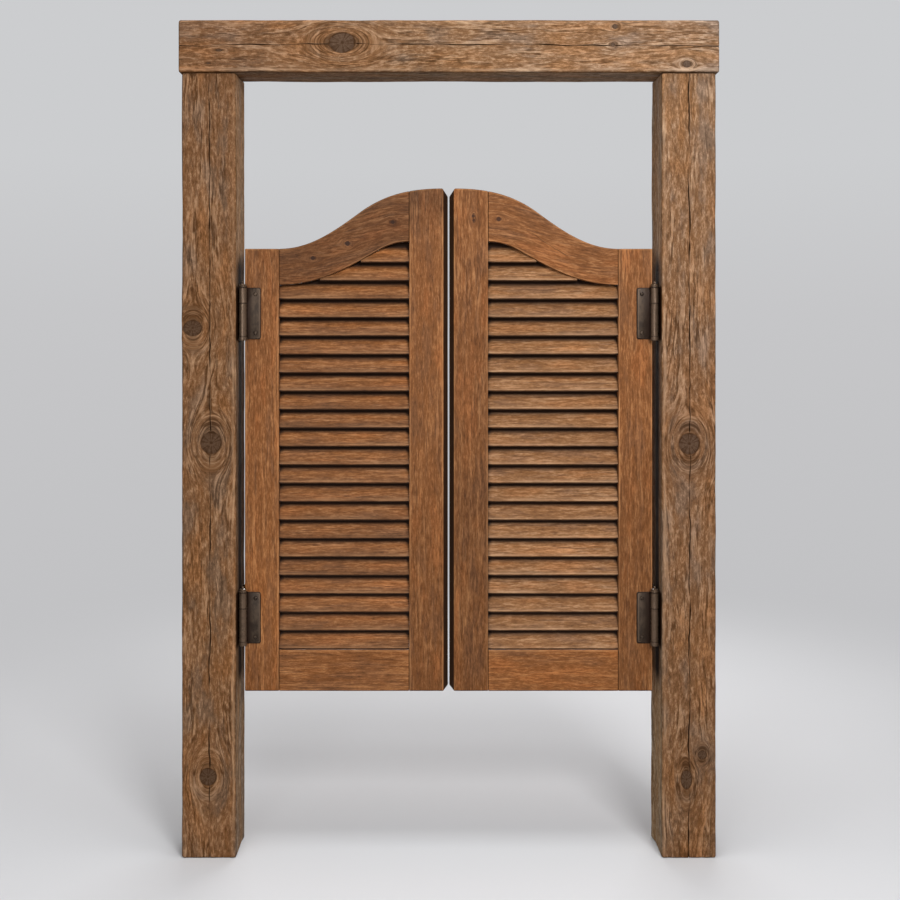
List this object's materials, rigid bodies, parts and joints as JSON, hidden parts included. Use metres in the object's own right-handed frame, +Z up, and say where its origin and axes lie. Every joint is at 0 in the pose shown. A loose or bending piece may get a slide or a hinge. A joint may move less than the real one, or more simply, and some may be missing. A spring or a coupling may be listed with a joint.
{
  "type": "cafe swinging doors",
  "caption": "Free-standing timber portal with a pair of louvred batwing leaves on double-acting spring hinges that swing both ways and close themselves.",
  "frame": {"origin": "on the floor, midway between the posts, at the middle of their depth", "axes": "+X to the right seen from the front, +Y away from the front, +Z up"},
  "size_m": [1.376, 0.15, 2.1333],
  "materials": {
    "weathered_timber": "weathered brown, brushed grain, knots and drying cracks",
    "stained_wood": "reddish-brown stain, satin, worn light at the edges",
    "bronzed_steel": "dark aged bronze, satin, edges rubbed bright",
    "bronzed_screw": "dark aged bronze",
    "spring_steel": "oiled",
    "zinc_steel": "zinc plated"
  },
  "bodies": {
    "frame": {"left_post": "weathered_timber", "right_post": "weathered_timber", "lintel": "weathered_timber", "left_lag_screw": "zinc_steel", "right_lag_screw": "zinc_steel", "left_upper_jamb_plate": "bronzed_steel", "left_upper_rear_spring": "spring_steel", "left_upper_jamb_screw_1": "bronzed_screw", "left_upper_jamb_screw_2": "bronzed_screw", "left_lower_jamb_plate": "bronzed_steel", "left_lower_rear_spring": "spring_steel", "left_lower_jamb_screw_1": "bronzed_screw", "left_lower_jamb_screw_2": "bronzed_screw", "right_upper_jamb_plate": "bronzed_steel", "right_upper_rear_spring": "spring_steel", "right_upper_jamb_screw_1": "bronzed_screw", "right_upper_jamb_screw_2": "bronzed_screw", "right_lower_jamb_plate": "bronzed_steel", "right_lower_rear_spring": "spring_steel", "right_lower_jamb_screw_1": "bronzed_screw", "right_lower_jamb_screw_2": "bronzed_screw"},
    "left_carrier": {"left_upper_centre_web": "bronzed_steel", "left_lower_centre_web": "bronzed_steel"},
    "left_leaf": {"left_hinge_stile": "stained_wood", "left_lock_stile": "stained_wood", "left_top_rail": "stained_wood", "left_bottom_rail": "stained_wood", "left_louvre_bank": "stained_wood", "left_upper_door_plate": "bronzed_steel", "left_upper_front_spring": "spring_steel", "left_upper_door_screw_1": "bronzed_screw", "left_upper_door_screw_2": "bronzed_screw", "left_lower_door_plate": "bronzed_steel", "left_lower_front_spring": "spring_steel", "left_lower_door_screw_1": "bronzed_screw", "left_lower_door_screw_2": "bronzed_screw"},
    "left_upper_front_spindle": {"left_upper_front_spindle": "bronzed_steel"},
    "left_upper_rear_spindle": {"left_upper_rear_spindle": "bronzed_steel"},
    "left_lower_front_spindle": {"left_lower_front_spindle": "bronzed_steel"},
    "left_lower_rear_spindle": {"left_lower_rear_spindle": "bronzed_steel"},
    "right_carrier": {"right_upper_centre_web": "bronzed_steel", "right_lower_centre_web": "bronzed_steel"},
    "right_leaf": {"right_hinge_stile": "stained_wood", "right_lock_stile": "stained_wood", "right_top_rail": "stained_wood", "right_bottom_rail": "stained_wood", "right_louvre_bank": "stained_wood", "right_upper_door_plate": "bronzed_steel", "right_upper_front_spring": "spring_steel", "right_upper_door_screw_1": "bronzed_screw", "right_upper_door_screw_2": "bronzed_screw", "right_lower_door_plate": "bronzed_steel", "right_lower_front_spring": "spring_steel", "right_lower_door_screw_1": "bronzed_screw", "right_lower_door_screw_2": "bronzed_screw"},
    "right_upper_front_spindle": {"right_upper_front_spindle": "bronzed_steel"},
    "right_upper_rear_spindle": {"right_upper_rear_spindle": "bronzed_steel"},
    "right_lower_front_spindle": {"right_lower_front_spindle": "bronzed_steel"},
    "right_lower_rear_spindle": {"right_lower_rear_spindle": "bronzed_steel"}
  },
  "joints": [
    {"name": "left_rear_swing", "type": "hinge", "parent": "frame", "child": "left_carrier", "pos_m": [-0.53, 0.032, 0.602], "axis": [0, 0, 1], "range_deg": [0, 90], "stiffness_Nm_per_rad": 6, "springref_deg": -28.65},
    {"name": "left_front_swing", "type": "hinge", "parent": "left_carrier", "child": "left_leaf", "pos_m": [-0.53, -0.032, 0.602], "axis": [0, 0, 1], "range_deg": [-90, 0], "stiffness_Nm_per_rad": 6, "springref_deg": 28.65},
    {"name": "right_rear_swing", "type": "hinge", "parent": "frame", "child": "right_carrier", "pos_m": [0.53, 0.032, 0.602], "axis": [0, 0, -1], "range_deg": [0, 90], "stiffness_Nm_per_rad": 6, "springref_deg": -28.65},
    {"name": "right_front_swing", "type": "hinge", "parent": "right_carrier", "child": "right_leaf", "pos_m": [0.53, -0.032, 0.602], "axis": [0, 0, -1], "range_deg": [-90, 0], "stiffness_Nm_per_rad": 6, "springref_deg": 28.65},
    {"name": "left_upper_front_tension", "type": "hinge", "parent": "left_carrier", "child": "left_upper_front_spindle", "pos_m": [-0.53, -0.032, 1.387], "axis": [0, 0, 1], "range_deg": [0, 180]},
    {"name": "left_upper_rear_tension", "type": "hinge", "parent": "left_carrier", "child": "left_upper_rear_spindle", "pos_m": [-0.53, 0.032, 1.387], "axis": [0, 0, 1], "range_deg": [0, 180]},
    {"name": "left_lower_front_tension", "type": "hinge", "parent": "left_carrier", "child": "left_lower_front_spindle", "pos_m": [-0.53, -0.032, 0.602], "axis": [0, 0, 1], "range_deg": [0, 180]},
    {"name": "left_lower_rear_tension", "type": "hinge", "parent": "left_carrier", "child": "left_lower_rear_spindle", "pos_m": [-0.53, 0.032, 0.602], "axis": [0, 0, 1], "range_deg": [0, 180]},
    {"name": "right_upper_front_tension", "type": "hinge", "parent": "right_carrier", "child": "right_upper_front_spindle", "pos_m": [0.53, -0.032, 1.387], "axis": [0, 0, -1], "range_deg": [0, 180]},
    {"name": "right_upper_rear_tension", "type": "hinge", "parent": "right_carrier", "child": "right_upper_rear_spindle", "pos_m": [0.53, 0.032, 1.387], "axis": [0, 0, -1], "range_deg": [0, 180]},
    {"name": "right_lower_front_tension", "type": "hinge", "parent": "right_carrier", "child": "right_lower_front_spindle", "pos_m": [0.53, -0.032, 0.602], "axis": [0, 0, -1], "range_deg": [0, 180]},
    {"name": "right_lower_rear_tension", "type": "hinge", "parent": "right_carrier", "child": "right_lower_rear_spindle", "pos_m": [0.53, 0.032, 0.602], "axis": [0, 0, -1], "range_deg": [0, 180]}
  ]
}
